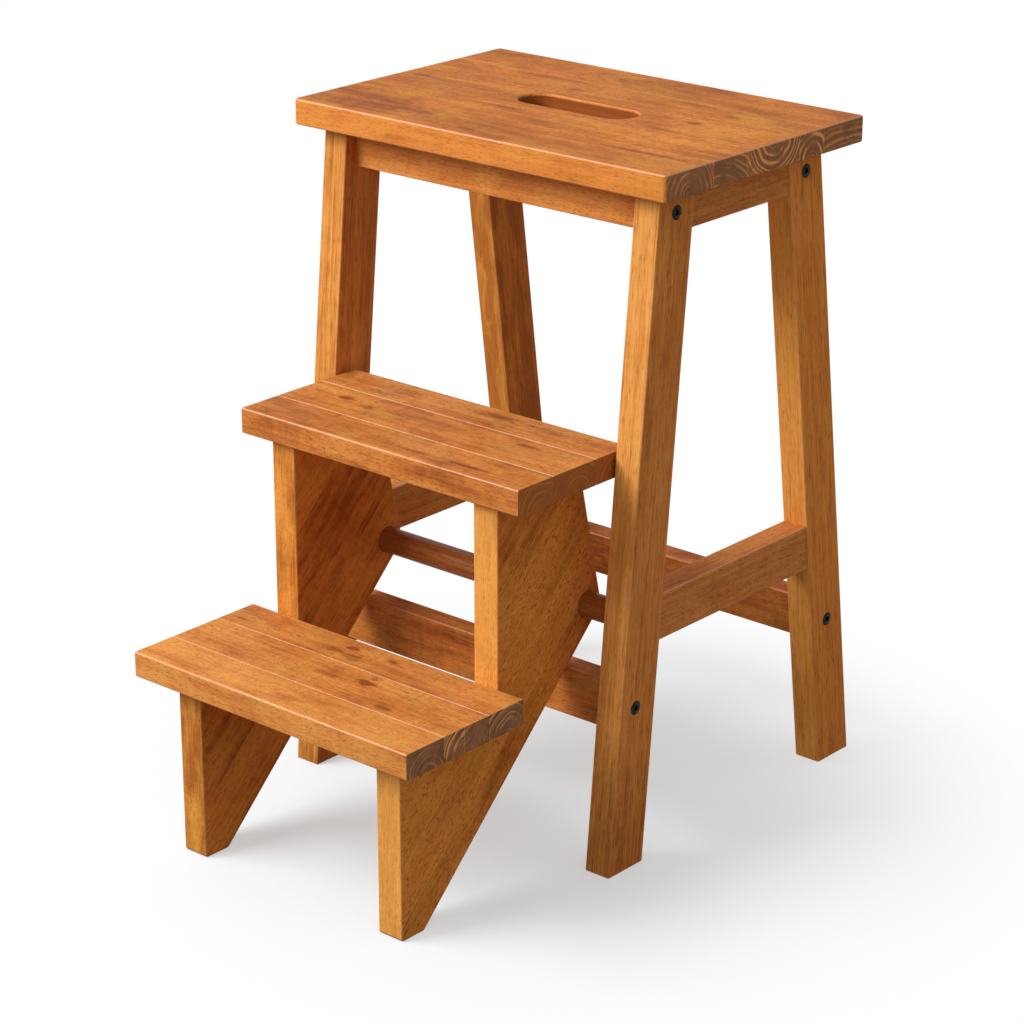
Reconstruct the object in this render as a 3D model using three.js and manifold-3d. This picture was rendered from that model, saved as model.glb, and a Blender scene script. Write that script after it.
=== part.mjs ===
// A folding step stool chair in solid wood. A stool on four leaning legs carries a unit of two
// steps, which turns about a round rod between the front legs, up and over into the frame.
// Millimetres, +Z up, the steps towards -Y. The origin is on the floor, under the middle of the
// whole stool with its steps out.
import * as THREE from 'three';
import { mergeVertices } from 'three/addons/utils/BufferGeometryUtils.js';
import Module from 'manifold-3d';

const wasm = await Module();
wasm.setup();

// Seat
const seatHeight = 635;
const seatLength = 427;
const seatDepth = 283;
const seatThickness = 24;
const seatCornerRadius = 4;
const seatEase = 2;
const slotLength = 124;
const slotWidth = 34;
const seatOverhang = 20.5;

// Legs: a reach is how far a foot stands out from its own top
const legThickness = 27;
const legDepth = 47.5;
const legEase = 1.2;
const frontLegInset = 19.5;
const frontLegReach = 58;
const rearLegInset = 35.9;
const rearLegReach = 80.6;

// Aprons, under the seat
const apronHeight = 37;
const apronThickness = 20;
const sideApronRecess = 2;

// Rails, low between the legs. The front one lies under the rod: its drop is from the rod's axis to
// its top.
const railEase = 1.4;
const frontRailHeight = 47;
const frontRailThickness = 21;
const frontRailDrop = 57.5;
const frontRailForward = 3.5;
const rearRailHeight = 40.5;
const rearRailThickness = 24;
const rearRailLevel = 147.7;
const sideRailHeight = 43.5;
const sideRailThickness = 25.5;
const sideRailLevel = 229.2;
const sideRailRecess = 1.5;

// Stub tenons of the side rails and side aprons
const tenonLength = 12;
const tenonThickness = 10;
const tenonShoulder = 8;

// Pivot rod
const rodDiameter = 24;
const rodHeight = 235.5;
const rodForward = 6.6;
const rodSocketDepth = 15;
const rodEndEase = 1.5;
const rodRunningGap = 0.4;

// Step unit: the standout is how far the low tread's front edge stands out from the rod's axis, a
// nose is how far a tread reaches past the panels' front edge under it, and the setback is how far
// it reaches past their back edge
const treadSideGap = 3.25;
const treadEndOverhang = 29.75;
const treadDepth = 147.5;
const middleSlatDepth = 56;
const rearSlatDepth = 45;
const treadThickness = 24;
const treadEase = 1.8;
const grooveEase = 0.8;
const slatEndEase = 0.6;
const lowTreadHeight = 193.3;
const lowTreadStandout = 267;
const lowTreadNose = 23.5;
const upperTreadHeight = 384.3;
const upperTreadNose = 8.3;
const panelThickness = 27;
const panelEase = 1.2;
const panelFootLength = 28;
const panelFootRadius = 3;
const panelTopSetback = 29.5;
const pivotWall = 6.5;

// Bolts and their barrel nuts
const boltDiameter = 6;
const boltHeadDiameter = 12.5;
const boltHeadHeight = 2.4;
const boltHeadCrown = 0.8;
const boltHeadProud = 0.5;
const boltSocketWidth = 5;
const boltSocketDepth = 1.7;
const boltTipEase = 0.8;
const boltPastNut = 8;
const nutDiameter = 10;
const nutLength = 14;
const nutSetback = 25;
const nutSlotWidth = 1.4;
const nutSlotDepth = 1.2;

// Screws that hold the seat
const screwDiameter = 4.5;
const screwLength = 42;
const screwBite = 14;
const screwPointLength = 6;
const screwHeadDiameter = 9;
const screwHeadHeight = 2.6;
const screwSocketWidth = 2.6;
const screwSocketDepth = 1.5;
const screwInset = 66;

// Dowel pins that hold the slats
const dowelDiameter = 8;
const dowelLength = 28;
const dowelInSlat = 13;
const dowelEase = 1;

// Clearances, and how far a cutter runs past what it cuts
const jointGap = 0.3;
const boltTipGap = 2;
const overrun = 5;

// Proportions: how much rounder a corner is than the edges beside it, the crown of a bolt head as
// shares of its radius and rise, and the flat and the rim of a screw head
const cornerShare = 1.3;
const crownShares = [[0.94, 0.35], [0.7, 0.85]];
const screwFlatShare = 0.6;
const screwRimShare = 0.5;

// Facets
const easeSteps = 2;
const cornerSteps = 1;
const boardSteps = 1;
const roundSteps = 6;
const pivotSteps = 3;
const rodSides = 48;
const boltSides = 16;
const smallSides = 10;
const hexagon = 6;
const square = 4;

// Values that follow from the sizes above
const slatRows = ['front', 'middle', 'rear'];
const frontSlatDepth = treadDepth - middleSlatDepth - rearSlatDepth - 2 * jointGap;
const slatDepths = [frontSlatDepth, middleSlatDepth, rearSlatDepth];
const legTop = seatHeight - seatThickness - jointGap;
const legOuter = seatLength / 2 - seatOverhang;
const legInner = legOuter - legThickness;
const frontLegTop = -seatDepth / 2 + frontLegInset;
const rearLegTop = seatDepth / 2 - rearLegInset - legDepth;
const frontLeg = { top: frontLegTop, foot: frontLegTop - frontLegReach };
const rearLeg = { top: rearLegTop, foot: rearLegTop + rearLegReach };
const apronLevel = legTop - apronHeight / 2;
const frontRailLevel = rodHeight - frontRailDrop - frontRailHeight / 2;
const bossRadius = rodDiameter / 2 + pivotWall;
const boltHole = boltDiameter / 2 + jointGap;
const screwTip = legTop + jointGap + screwBite;
const screwX = legInner - screwInset;

// The front face of a leg, and the middle of its depth, at a height above the floor
function legFace(leg, z) {
  return leg.foot + (leg.top - leg.foot) * z / legTop;
}

function legMiddle(leg, z) {
  return legFace(leg, z) + legDepth / 2;
}

const rodY = legMiddle(frontLeg, rodHeight) - rodForward;

// The pieces that run across between two legs of a pair, and the way their nuts go in: +1 from
// the rear face, -1 from the front face
const crossPieces = {
  front_apron: {
    leg: frontLeg, y: legMiddle(frontLeg, apronLevel), z: apronLevel,
    height: apronHeight, thickness: apronThickness, nutsFrom: 1, screwed: true,
  },
  rear_apron: {
    leg: rearLeg, y: legMiddle(rearLeg, apronLevel), z: apronLevel,
    height: apronHeight, thickness: apronThickness, nutsFrom: -1, screwed: true,
  },
  front_rail: {
    leg: frontLeg, y: legMiddle(frontLeg, frontRailLevel) - frontRailForward, z: frontRailLevel,
    height: frontRailHeight, thickness: frontRailThickness, nutsFrom: 1, screwed: false,
  },
  rear_rail: {
    leg: rearLeg, y: legMiddle(rearLeg, rearRailLevel), z: rearRailLevel,
    height: rearRailHeight, thickness: rearRailThickness, nutsFrom: 1, screwed: false,
  },
};

// The pieces that run from a front leg to a rear leg, and how far out they lie
const sideApron = {
  x: legOuter - sideApronRecess - apronThickness / 2, z: apronLevel,
  height: apronHeight, thickness: apronThickness,
};
const sideRail = {
  x: legOuter - sideRailRecess - sideRailThickness / 2, z: sideRailLevel,
  height: sideRailHeight, thickness: sideRailThickness,
};

// The step unit has a frame of its own, with its origin on the rod's axis: heights and depths here
// are measured from there
const unitFloor = -rodHeight;
const treadLength = 2 * (legInner - treadSideGap);
const panelX = treadLength / 2 - treadEndOverhang - panelThickness / 2;
const lowFace = lowTreadNose - lowTreadStandout;
const upperFace = treadDepth + jointGap - lowTreadStandout;
const upperTreadStandout = upperTreadNose - upperFace;
const upperBack = treadDepth - upperTreadStandout - panelTopSetback;
const lowTread = {
  name: 'low', standout: lowTreadStandout, bottom: lowTreadHeight - treadThickness - rodHeight,
  edge: [lowFace, upperFace],
};
const upperTread = {
  name: 'upper', standout: upperTreadStandout, bottom: upperTreadHeight - treadThickness - rodHeight,
  edge: [upperFace, upperBack],
};

// A closed geometry as a solid that can be joined and cut
function solid(geometry) {
  const bare = geometry.clone();
  bare.deleteAttribute('normal');
  bare.deleteAttribute('uv');
  const welded = mergeVertices(bare);
  return new wasm.Manifold(new wasm.Mesh({
    numProp: 3,
    vertProperties: new Float32Array(welded.attributes.position.array),
    triVerts: new Uint32Array(welded.index.array),
  }));
}

// A solid back as a geometry
function surface(body) {
  const mesh = body.getMesh();
  const geometry = new THREE.BufferGeometry();
  geometry.setAttribute('position', new THREE.BufferAttribute(mesh.vertProperties, mesh.numProp));
  geometry.setIndex(new THREE.BufferAttribute(mesh.triVerts, 1));
  geometry.computeVertexNormals();
  return geometry;
}

// A geometry with others cut out of it
function cut(geometry, cutters) {
  return surface(cutters.reduce((body, cutter) => body.subtract(solid(cutter)), solid(geometry)));
}

// A closed outline, counterclockwise through corners [u, v, radius]; a corner without a radius of
// its own takes the one given for all
function outline(corners, commonRadius) {
  const shape = new THREE.Shape();
  corners.forEach(([u, v, ownRadius], i) => {
    const corner = new THREE.Vector2(u, v);
    const [lastU, lastV] = corners.at(i - 1);
    const [nextU, nextV] = corners[(i + 1) % corners.length];
    const back = new THREE.Vector2(lastU, lastV).sub(corner).normalize();
    const ahead = new THREE.Vector2(nextU, nextV).sub(corner).normalize();
    const radius = ownRadius ?? commonRadius;
    const halfAngle = Math.acos(back.dot(ahead)) / 2;
    const centre = back.clone().add(ahead).setLength(radius / Math.sin(halfAngle)).add(corner);
    const start = back.clone().multiplyScalar(radius / Math.tan(halfAngle)).add(corner).sub(centre);
    const end = ahead.clone().multiplyScalar(radius / Math.tan(halfAngle)).add(corner).sub(centre);
    shape.absarc(centre.x, centre.y, radius, start.angle(), end.angle(), ahead.cross(back) < 0);
  });
  shape.closePath();
  return shape;
}

// A rectangle's corners, by its middle and its size
function rectangle(u, v, width, height) {
  const left = u - width / 2;
  const right = u + width / 2;
  const low = v - height / 2;
  const high = v + height / 2;
  return [[left, low], [right, low], [right, high], [left, high]];
}

// A slot with half round ends, along u
function obround(length, width) {
  const path = new THREE.Path();
  const reach = (length - width) / 2;
  path.absarc(reach, 0, width / 2, -Math.PI / 2, Math.PI / 2);
  path.absarc(-reach, 0, width / 2, Math.PI / 2, -Math.PI / 2);
  path.closePath();
  return path;
}

// A shape as a board of the thickness given, centred on the plane it is drawn in, with the edges
// round both faces eased
function board(shape, thickness, ease, steps) {
  const geometry = new THREE.ExtrudeGeometry(shape, {
    depth: thickness - 2 * ease,
    bevelEnabled: ease > 0,
    bevelThickness: ease,
    bevelSize: ease,
    bevelOffset: -ease,
    bevelSegments: easeSteps,
    curveSegments: steps,
  });
  return geometry.translate(0, 0, ease - thickness / 2);
}

const alongX = new THREE.Vector3(1, 0, 0);
const alongY = new THREE.Vector3(0, 1, 0);
const alongZ = new THREE.Vector3(0, 0, 1);

// A board drawn in the side view: its shape is in (y, z) and its thickness along X
const sideView = new THREE.Matrix4().makeBasis(alongY, alongZ, alongX);

function sideBoard(shape, thickness, ease, steps) {
  return board(shape, thickness, ease, steps).applyMatrix4(sideView);
}

// A square-edged slab of the outline through some corners in the side view, its middle at x
function slab(corners, thickness, x) {
  const shape = new THREE.Shape(corners.map(([y, z]) => new THREE.Vector2(y, z)));
  return sideBoard(shape, thickness, 0, boardSteps).translate(x, 0, 0);
}

// Round bars along X, Y and Z, by their middle
function barX(radius, length, sides, [x, y, z]) {
  const bar = new THREE.CylinderGeometry(radius, radius, length, sides);
  return bar.rotateZ(-Math.PI / 2).translate(x, y, z);
}

function barY(radius, length, sides, [x, y, z]) {
  return new THREE.CylinderGeometry(radius, radius, length, sides).translate(x, y, z);
}

function barZ(radius, length, sides, [x, y, z]) {
  const bar = new THREE.CylinderGeometry(radius, radius, length, sides);
  return bar.rotateX(Math.PI / 2).translate(x, y, z);
}

// A turned piece about the Y axis, from its profile [radius, y] given from the bottom up
function turned(profile, sides) {
  return new THREE.LatheGeometry(profile.map(([r, y]) => new THREE.Vector2(r, y)), sides);
}

// What a bolt needs in its leg: a hole right through and a shallow recess for its head
function legBoltHoles(rail, side) {
  const recess = boltHeadHeight - boltHeadProud + jointGap;
  const middle = side * (legInner + legThickness / 2);
  return [
    barX(boltHole, legThickness + 2 * overrun, boltSides, [middle, rail.y, rail.z]),
    barX(boltHeadDiameter / 2 + jointGap, 2 * recess, boltSides, [side * legOuter, rail.y, rail.z]),
  ];
}

// What a bolt needs in a cross piece: a hole in its end, and a blind cross hole for its nut
function railBoltHoles(rail, side) {
  const depth = nutSetback + boltPastNut + boltTipGap;
  const inside = nutLength / 2 + jointGap;
  const outside = rail.thickness / 2 + overrun;
  const nutX = side * (legInner - nutSetback);
  const nutY = rail.y + rail.nutsFrom * (outside - inside) / 2;
  return [
    barX(boltHole, depth + overrun, boltSides, [side * (legInner - (depth - overrun) / 2), rail.y, rail.z]),
    barY(nutDiameter / 2 + jointGap, inside + outside, boltSides, [nutX, nutY, rail.z]),
  ];
}

// What a screw needs: a hole up into the seat, and a deep recess from below for its head
function screwHole(apron, x) {
  const top = screwTip + jointGap;
  const bottom = apron.z - apron.height / 2 - overrun;
  const radius = screwDiameter / 2 + jointGap;
  return barZ(radius, top - bottom, smallSides, [x, apron.y, (top + bottom) / 2]);
}

function screwRecess(apron, x) {
  const top = screwTip - screwLength + screwHeadHeight + jointGap;
  const bottom = apron.z - apron.height / 2 - overrun;
  const radius = screwHeadDiameter / 2 + jointGap;
  return barZ(radius, top - bottom, smallSides, [x, apron.y, (top + bottom) / 2]);
}

// The side view of what lies between a front and a rear leg at a height, and runs into both of
// them by a reach
function betweenLegs(z, height, reach) {
  const low = z - height / 2;
  const high = z + height / 2;
  return [
    [legFace(frontLeg, low) + legDepth - reach, low],
    [legFace(rearLeg, low) + reach, low],
    [legFace(rearLeg, high) + reach, high],
    [legFace(frontLeg, high) + legDepth - reach, high],
  ];
}

// The seat, with its hand slot and the blind holes for its screws
function seatPanel() {
  const shape = outline(rectangle(0, 0, seatLength, seatDepth), seatCornerRadius);
  shape.holes.push(obround(slotLength, slotWidth));
  const body = board(shape, seatThickness, seatEase, roundSteps);
  const screwed = Object.values(crossPieces).filter((rail) => rail.screwed);
  const holes = screwed.flatMap((rail) => [screwHole(rail, -screwX), screwHole(rail, screwX)]);
  return cut(body, holes.map((hole) => hole.translate(0, 0, seatThickness / 2 - seatHeight)));
}

// A leg with its bolt holes and the mortises for the side pieces; a front leg also has the blind
// socket that holds the rod
function legPiece(leg, side) {
  const shape = outline([
    [leg.foot, 0],
    [leg.foot + legDepth, 0],
    [leg.top + legDepth, legTop],
    [leg.top, legTop],
  ], legEase * cornerShare);
  const body = sideBoard(shape, legThickness, legEase, cornerSteps);
  const bolted = Object.values(crossPieces).filter((rail) => rail.leg === leg);
  const holes = bolted.flatMap((rail) => legBoltHoles(rail, side));
  const mortises = [sideApron, sideRail].map((rail) => slab(
    betweenLegs(rail.z, rail.height - 2 * tenonShoulder + 2 * jointGap, tenonLength + jointGap),
    tenonThickness + 2 * jointGap, side * rail.x));
  const sockets = leg === frontLeg ? [barX(
    rodDiameter / 2 + jointGap, rodSocketDepth + overrun, rodSides,
    [side * (legInner + (rodSocketDepth - overrun) / 2), rodY, rodHeight])] : [];
  body.translate(side * (legInner + legThickness / 2), 0, 0);
  return cut(body, [...holes, ...mortises, ...sockets]);
}

// A piece across a pair of legs, with the holes for the bolts, nuts and screws it takes
function crossPiece(rail) {
  const shape = outline(rectangle(rail.y, rail.z, rail.thickness, rail.height), railEase);
  const body = sideBoard(shape, 2 * (legInner - jointGap), 0, cornerSteps);
  const screwHoles = rail.screwed ? [-screwX, screwX].flatMap((x) => (
    [screwHole(rail, x), screwRecess(rail, x)])) : [];
  return cut(body, [...railBoltHoles(rail, -1), ...railBoltHoles(rail, 1), ...screwHoles]);
}

// A piece from a front leg to a rear leg. Its ends follow the lean of the legs, and each has a stub
// tenon. The bar it is made from is drawn in the (z, x) plane.
function sidePiece(rail, side) {
  const section = outline(rectangle(rail.z, side * rail.x, rail.height, rail.thickness), railEase);
  const bar = board(section, 2 * seatDepth, 0, cornerSteps);
  bar.applyMatrix4(new THREE.Matrix4().makeBasis(alongZ, alongX, alongY));
  const shoulders = slab(
    betweenLegs(rail.z, rail.height + 2 * overrun, -jointGap), rail.thickness + 2 * overrun, side * rail.x);
  const tenons = slab(
    betweenLegs(rail.z, rail.height - 2 * tenonShoulder, tenonLength), tenonThickness, side * rail.x);
  return surface(solid(bar).intersect(solid(shoulders)).add(solid(tenons)));
}

// The rod, along X, its ends eased to go into the sockets of the front legs
function pivotRod() {
  const radius = rodDiameter / 2;
  const reach = legInner + rodSocketDepth - jointGap;
  return surface(solid(turned([
    [0, -reach],
    [radius - rodEndEase, -reach],
    [radius, rodEndEase - reach],
    [radius, reach - rodEndEase],
    [radius - rodEndEase, reach],
    [0, reach],
  ], rodSides).rotateZ(-Math.PI / 2)));
}

// The unit vector from the rod's axis to where a line through a point just touches the wood left
// round the rod; turn says on which side it passes
function touch([y, z], turn) {
  const angle = Math.atan2(z, y) + turn * Math.acos(bossRadius / Math.hypot(y, z));
  return new THREE.Vector2(Math.cos(angle), Math.sin(angle));
}

// The stepped outline of a side panel. Its slanted lower edge and its leaning rear edge both just
// touch the wood left round the rod, so the corner where they meet is rounded about the rod's axis.
function panelOutline() {
  const low = lowTread.bottom - jointGap;
  const high = upperTread.bottom - jointGap;
  const footBack = [lowFace + panelFootLength, unitFloor];
  const topBack = [upperBack, high];
  const under = touch(footBack, 1);
  const behind = touch(topBack, -1);
  const corner = under.clone().add(behind).multiplyScalar(bossRadius / (1 + under.dot(behind)));
  return outline([
    [lowFace, unitFloor, panelFootRadius],
    footBack,
    [corner.x, corner.y, bossRadius],
    topBack,
    [upperFace, high],
    [upperFace, low],
    [lowFace, low],
  ], panelEase * cornerShare);
}

// Where each of a tread's slats starts and ends, from the front
function slatSpans(tread) {
  let start = -tread.standout;
  return slatDepths.map((depth) => {
    const span = [start, start + depth];
    start += depth + jointGap;
    return span;
  });
}

// A slat's dowels stand in the middle of the stretch of it that the panel's edge carries
function dowelPlaces(tread) {
  const [front, back] = tread.edge;
  return slatSpans(tread).map(([start, end]) => (
    (Math.max(start, front) + Math.min(end, back)) / 2));
}

// A stepped side panel, bored for the rod and for the dowels in both of its level edges
function stepPanel(side) {
  const body = sideBoard(panelOutline(), panelThickness, panelEase, pivotSteps);
  const bore = barX(rodDiameter / 2 + rodRunningGap, panelThickness + 2 * overrun, rodSides, [0, 0, 0]);
  const depth = dowelLength - dowelInSlat + jointGap;
  const holes = [lowTread, upperTread].flatMap((tread) => dowelPlaces(tread).map((y) => barZ(
    dowelDiameter / 2 + jointGap, depth + overrun, smallSides,
    [0, y, tread.bottom - (depth - overrun) / 2])));
  return cut(body, [bore, ...holes]).translate(side * panelX, 0, 0);
}

// One slat of a tread. Edges that meet another slat are eased less than the tread's own edges.
function slat(tread, row) {
  const first = row === 0;
  const last = row === slatRows.length - 1;
  const front = first ? treadEase : grooveEase;
  const back = last ? treadEase : grooveEase;
  const [start, end] = slatSpans(tread)[row];
  const [a, b, c, d] = rectangle(
    (start + end) / 2, tread.bottom + treadThickness / 2, end - start, treadThickness);
  const shape = outline([[...a, front], [...b, back], [...c, back], [...d, front]]);
  const holeDepth = dowelInSlat + jointGap;
  const holes = [-panelX, panelX].map((x) => barZ(
    dowelDiameter / 2 + jointGap, holeDepth + overrun, smallSides,
    [x, dowelPlaces(tread)[row], tread.bottom + (holeDepth - overrun) / 2]));
  return cut(sideBoard(shape, treadLength, slatEndEase, cornerSteps), holes);
}

// An upright dowel pin, its origin where the slat's underside meets it
function dowelPin() {
  const radius = dowelDiameter / 2;
  const bottom = dowelInSlat - dowelLength;
  return surface(solid(turned([
    [0, bottom],
    [radius - dowelEase, bottom],
    [radius, bottom + dowelEase],
    [radius, dowelInSlat - dowelEase],
    [radius - dowelEase, dowelInSlat],
    [0, dowelInSlat],
  ], smallSides).rotateX(Math.PI / 2)));
}

// A bolt along X, its origin under its head: a low crowned head with a hexagon socket
function legBolt() {
  const head = boltHeadDiameter / 2;
  const shank = boltDiameter / 2;
  const length = legThickness - boltHeadHeight + boltHeadProud + nutSetback + boltPastNut;
  const rim = boltHeadHeight - boltHeadCrown;
  const body = turned([
    [0, -length],
    [shank - boltTipEase, -length],
    [shank, boltTipEase - length],
    [shank, 0],
    [head, 0],
    [head, rim],
    ...crownShares.map(([radius, rise]) => [head * radius, rim + boltHeadCrown * rise]),
    [0, boltHeadHeight],
  ], boltSides);
  const socket = barY(boltSocketWidth / Math.sqrt(3), boltSocketDepth + overrun, hexagon,
    [0, boltHeadHeight + (overrun - boltSocketDepth) / 2, 0]);
  return cut(body, [socket]).rotateZ(-Math.PI / 2);
}

// A barrel nut along Y, with the hole its bolt runs through and a screwdriver slot in its +Y end
function barrelNut() {
  const barrel = barY(nutDiameter / 2, nutLength, boltSides, [0, 0, 0]);
  const hole = barX(boltHole, nutDiameter + 2 * overrun, boltSides, [0, 0, 0]);
  const slot = new THREE.BoxGeometry(nutSlotWidth, 2 * nutSlotDepth, nutDiameter + 2 * overrun);
  return cut(barrel, [hole, slot.translate(0, nutLength / 2, 0)]);
}

// A pan head screw, upright, its origin on top of its head, where that meets the apron
function seatScrew() {
  const head = screwHeadDiameter / 2;
  const shank = screwDiameter / 2;
  const length = screwLength - screwHeadHeight;
  const body = turned([
    [0, -screwHeadHeight],
    [head * screwFlatShare, -screwHeadHeight],
    [head, -screwHeadHeight * screwRimShare],
    [head, 0],
    [shank, 0],
    [shank, length - screwPointLength],
    [0, length],
  ], smallSides);
  const socket = barY(screwSocketWidth / Math.SQRT2, screwSocketDepth + overrun, square,
    [0, (screwSocketDepth - overrun) / 2 - screwHeadHeight, 0]);
  return cut(body, [socket]).rotateX(Math.PI / 2);
}

// Finishes
const colours = {
  tops: 0xc8702a, legs: 0xc47a32, panels: 0xa9652a, rails: 0xb0632a, rod: 0x7c3a18, dowels: 0xc9a063,
};

function wood(colour) {
  return new THREE.MeshStandardMaterial({ color: colour, roughness: 0.5, metalness: 0 });
}

function blackSteel() {
  return new THREE.MeshStandardMaterial({ color: 0x1c1c1e, roughness: 0.45, metalness: 0.6 });
}

function plainSteel() {
  return new THREE.MeshStandardMaterial({ color: 0xb8b4a8, roughness: 0.35, metalness: 1 });
}

// A named mesh in a group, at a place in it
function put(group, name, geometry, material, place = [0, 0, 0]) {
  const mesh = new THREE.Mesh(geometry, material);
  mesh.name = name;
  mesh.position.set(...place);
  group.add(mesh);
  return mesh;
}

const hands = [['left', -1], ['right', 1]];

function frameGroup() {
  const frame = new THREE.Group();
  put(frame, 'seat_panel', seatPanel(), wood(colours.tops), [0, 0, seatHeight - seatThickness / 2]);
  put(frame, 'pivot_rod', pivotRod(), wood(colours.rod), [0, rodY, rodHeight]);
  for (const [hand, side] of hands) {
    put(frame, `front_${hand}_leg`, legPiece(frontLeg, side), wood(colours.legs));
    put(frame, `rear_${hand}_leg`, legPiece(rearLeg, side), wood(colours.legs));
    put(frame, `${hand}_apron`, sidePiece(sideApron, side), wood(colours.rails));
    put(frame, `${hand}_rail`, sidePiece(sideRail, side), wood(colours.rails));
  }
  for (const [name, rail] of Object.entries(crossPieces)) {
    put(frame, name, crossPiece(rail), wood(colours.rails));
    const [end, kind] = name.split('_');
    for (const [hand, side] of hands) {
      addFasteners(frame, rail, side, `${end}_${hand}`, kind);
    }
  }
  return frame;
}

// The bolt and nut at one end of a cross piece, and the screw up into the seat if it takes one
function addFasteners(frame, rail, side, corner, kind) {
  const boltX = side * (legOuter - boltHeadHeight + boltHeadProud);
  const bolt = put(frame, `${corner}_${kind}_bolt`, legBolt(), blackSteel(), [boltX, rail.y, rail.z]);
  bolt.rotation.z = side < 0 ? Math.PI : 0;
  const nutX = side * (legInner - nutSetback);
  const nut = put(frame, `${corner}_${kind}_nut`, barrelNut(), plainSteel(), [nutX, rail.y, rail.z]);
  nut.rotation.z = rail.nutsFrom < 0 ? Math.PI : 0;
  if (rail.screwed) {
    const headTop = screwTip - screwLength + screwHeadHeight;
    put(frame, `${corner}_seat_screw`, seatScrew(), plainSteel(), [side * screwX, rail.y, headTop]);
  }
}

function stepUnit() {
  const unit = new THREE.Group();
  unit.position.set(0, rodY, rodHeight);
  for (const [hand, side] of hands) {
    put(unit, `${hand}_step_panel`, stepPanel(side), wood(colours.panels));
  }
  for (const tread of [lowTread, upperTread]) {
    slatRows.forEach((rowName, row) => {
      put(unit, `${tread.name}_step_${rowName}_slat`, slat(tread, row), wood(colours.tops));
      for (const [hand, side] of hands) {
        const place = [side * panelX, dowelPlaces(tread)[row], tread.bottom];
        put(unit, `${tread.name}_step_${rowName}_${hand}_dowel`, dowelPin(), wood(colours.dowels), place);
      }
    });
  }
  return unit;
}

// The whole stool, moved so that the middle of its depth is over the origin
const stool = new THREE.Group();
const foremost = rodY - lowTreadStandout;
const rearmost = rearLeg.foot + legDepth;
stool.position.y = -(foremost + rearmost) / 2;
stool.add(frameGroup(), stepUnit());

export default stool;
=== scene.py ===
"""The looks of a folding step stool chair: stained solid wood in separate pieces, black bolts and soft
studio light. The seat, legs, aprons, rails, rod, panels, slats and bolts are modelled again round their
CAD nodes and stand for them. The nuts, screws and dowels are the CAD's own."""
import math
import random

import bmesh
import bpy
from mathutils import Matrix, Vector


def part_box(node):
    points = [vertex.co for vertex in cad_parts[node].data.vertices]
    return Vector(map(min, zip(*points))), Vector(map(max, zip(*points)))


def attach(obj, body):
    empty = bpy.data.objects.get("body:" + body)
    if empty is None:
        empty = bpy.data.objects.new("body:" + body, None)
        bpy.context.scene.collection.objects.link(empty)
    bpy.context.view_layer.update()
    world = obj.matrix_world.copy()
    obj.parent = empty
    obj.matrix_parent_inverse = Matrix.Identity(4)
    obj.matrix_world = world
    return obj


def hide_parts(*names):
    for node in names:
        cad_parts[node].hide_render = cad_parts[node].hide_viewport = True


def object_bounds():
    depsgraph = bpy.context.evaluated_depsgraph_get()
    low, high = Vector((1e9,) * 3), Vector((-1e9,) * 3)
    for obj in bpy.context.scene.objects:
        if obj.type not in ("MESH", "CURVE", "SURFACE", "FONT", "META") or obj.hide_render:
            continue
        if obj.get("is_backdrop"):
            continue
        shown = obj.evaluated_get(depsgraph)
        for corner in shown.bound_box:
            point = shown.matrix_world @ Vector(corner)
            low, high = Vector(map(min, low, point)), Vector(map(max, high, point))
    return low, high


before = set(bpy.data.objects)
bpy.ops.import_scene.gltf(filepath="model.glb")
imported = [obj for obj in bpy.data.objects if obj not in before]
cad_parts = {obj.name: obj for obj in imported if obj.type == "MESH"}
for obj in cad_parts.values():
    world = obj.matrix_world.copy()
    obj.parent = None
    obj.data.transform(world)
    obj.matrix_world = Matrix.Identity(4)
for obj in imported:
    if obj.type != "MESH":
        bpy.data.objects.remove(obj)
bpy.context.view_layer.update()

MM = 0.001
X = Vector((1, 0, 0))
Y = Vector((0, 1, 0))
Z = Vector((0, 0, 1))

# Sizes the frame's boxes don't give
SEAT_CORNER = 4 * MM
SEAT_EASE = 2 * MM
SEAT_HALF_DEPTH = 141.5  # in millimetres, as the places of boards and knots are
SLOT_LENGTH = 129 * MM
SLOT_WIDTH = 40 * MM
SLOT_SETBACK = 3 * MM
LEG_DEPTH = 47.5 * MM
LEG_EASE = 1.2 * MM
RAIL_EASE = 1.4 * MM
TREAD_EASE = 1.8 * MM
GROOVE_EASE = 0.8 * MM
SLAT_END_EASE = 0.6 * MM
PANEL_EASE = 1.2 * MM
PANEL_CORNER = 1.6 * MM
PANEL_FOOT_LENGTH = 28 * MM
PANEL_FOOT_RADIUS = 3 * MM
PANEL_TOP_SETBACK = 29.5 * MM
PIVOT_WALL = 6.5 * MM
ROD_END_EASE = 1.5 * MM
RUNNING_GAP = 0.4 * MM
JOINT_GAP = 0.3 * MM
BOLT_SHANK = 6 * MM
BOLT_TIP_EASE = 0.8 * MM
BOLT_HEAD = 12.5 * MM
BOLT_HEAD_HEIGHT = 2.4 * MM
BOLT_CROWN = 0.8 * MM
BOLT_PROUD = 0.5 * MM
BOLT_SOCKET = 5 * MM
BOLT_SOCKET_DEPTH = 1.7 * MM
NUT_BORE = 10.6 * MM
SCREW_RECESS = 9.6 * MM
SCREW_HEAD = 2.9 * MM
ROD_DRILL_START = 5 * MM       # how far outside the wood the drill for the rod starts
HARDWARE_DRILL_START = 3 * MM  # and the drills for nuts and screws
NEAR = 0.2 * MM  # how near an edge has to be to a corner's place to be that corner
TINY = 0.02 * MM


# Modelling by hand
EASED = 1  # the mark of a face that an ease has made


def only(piece):
    """Nothing is selected but this piece."""
    bpy.ops.object.select_all(action="DESELECT")
    piece.select_set(True)
    bpy.context.view_layer.objects.active = piece


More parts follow.
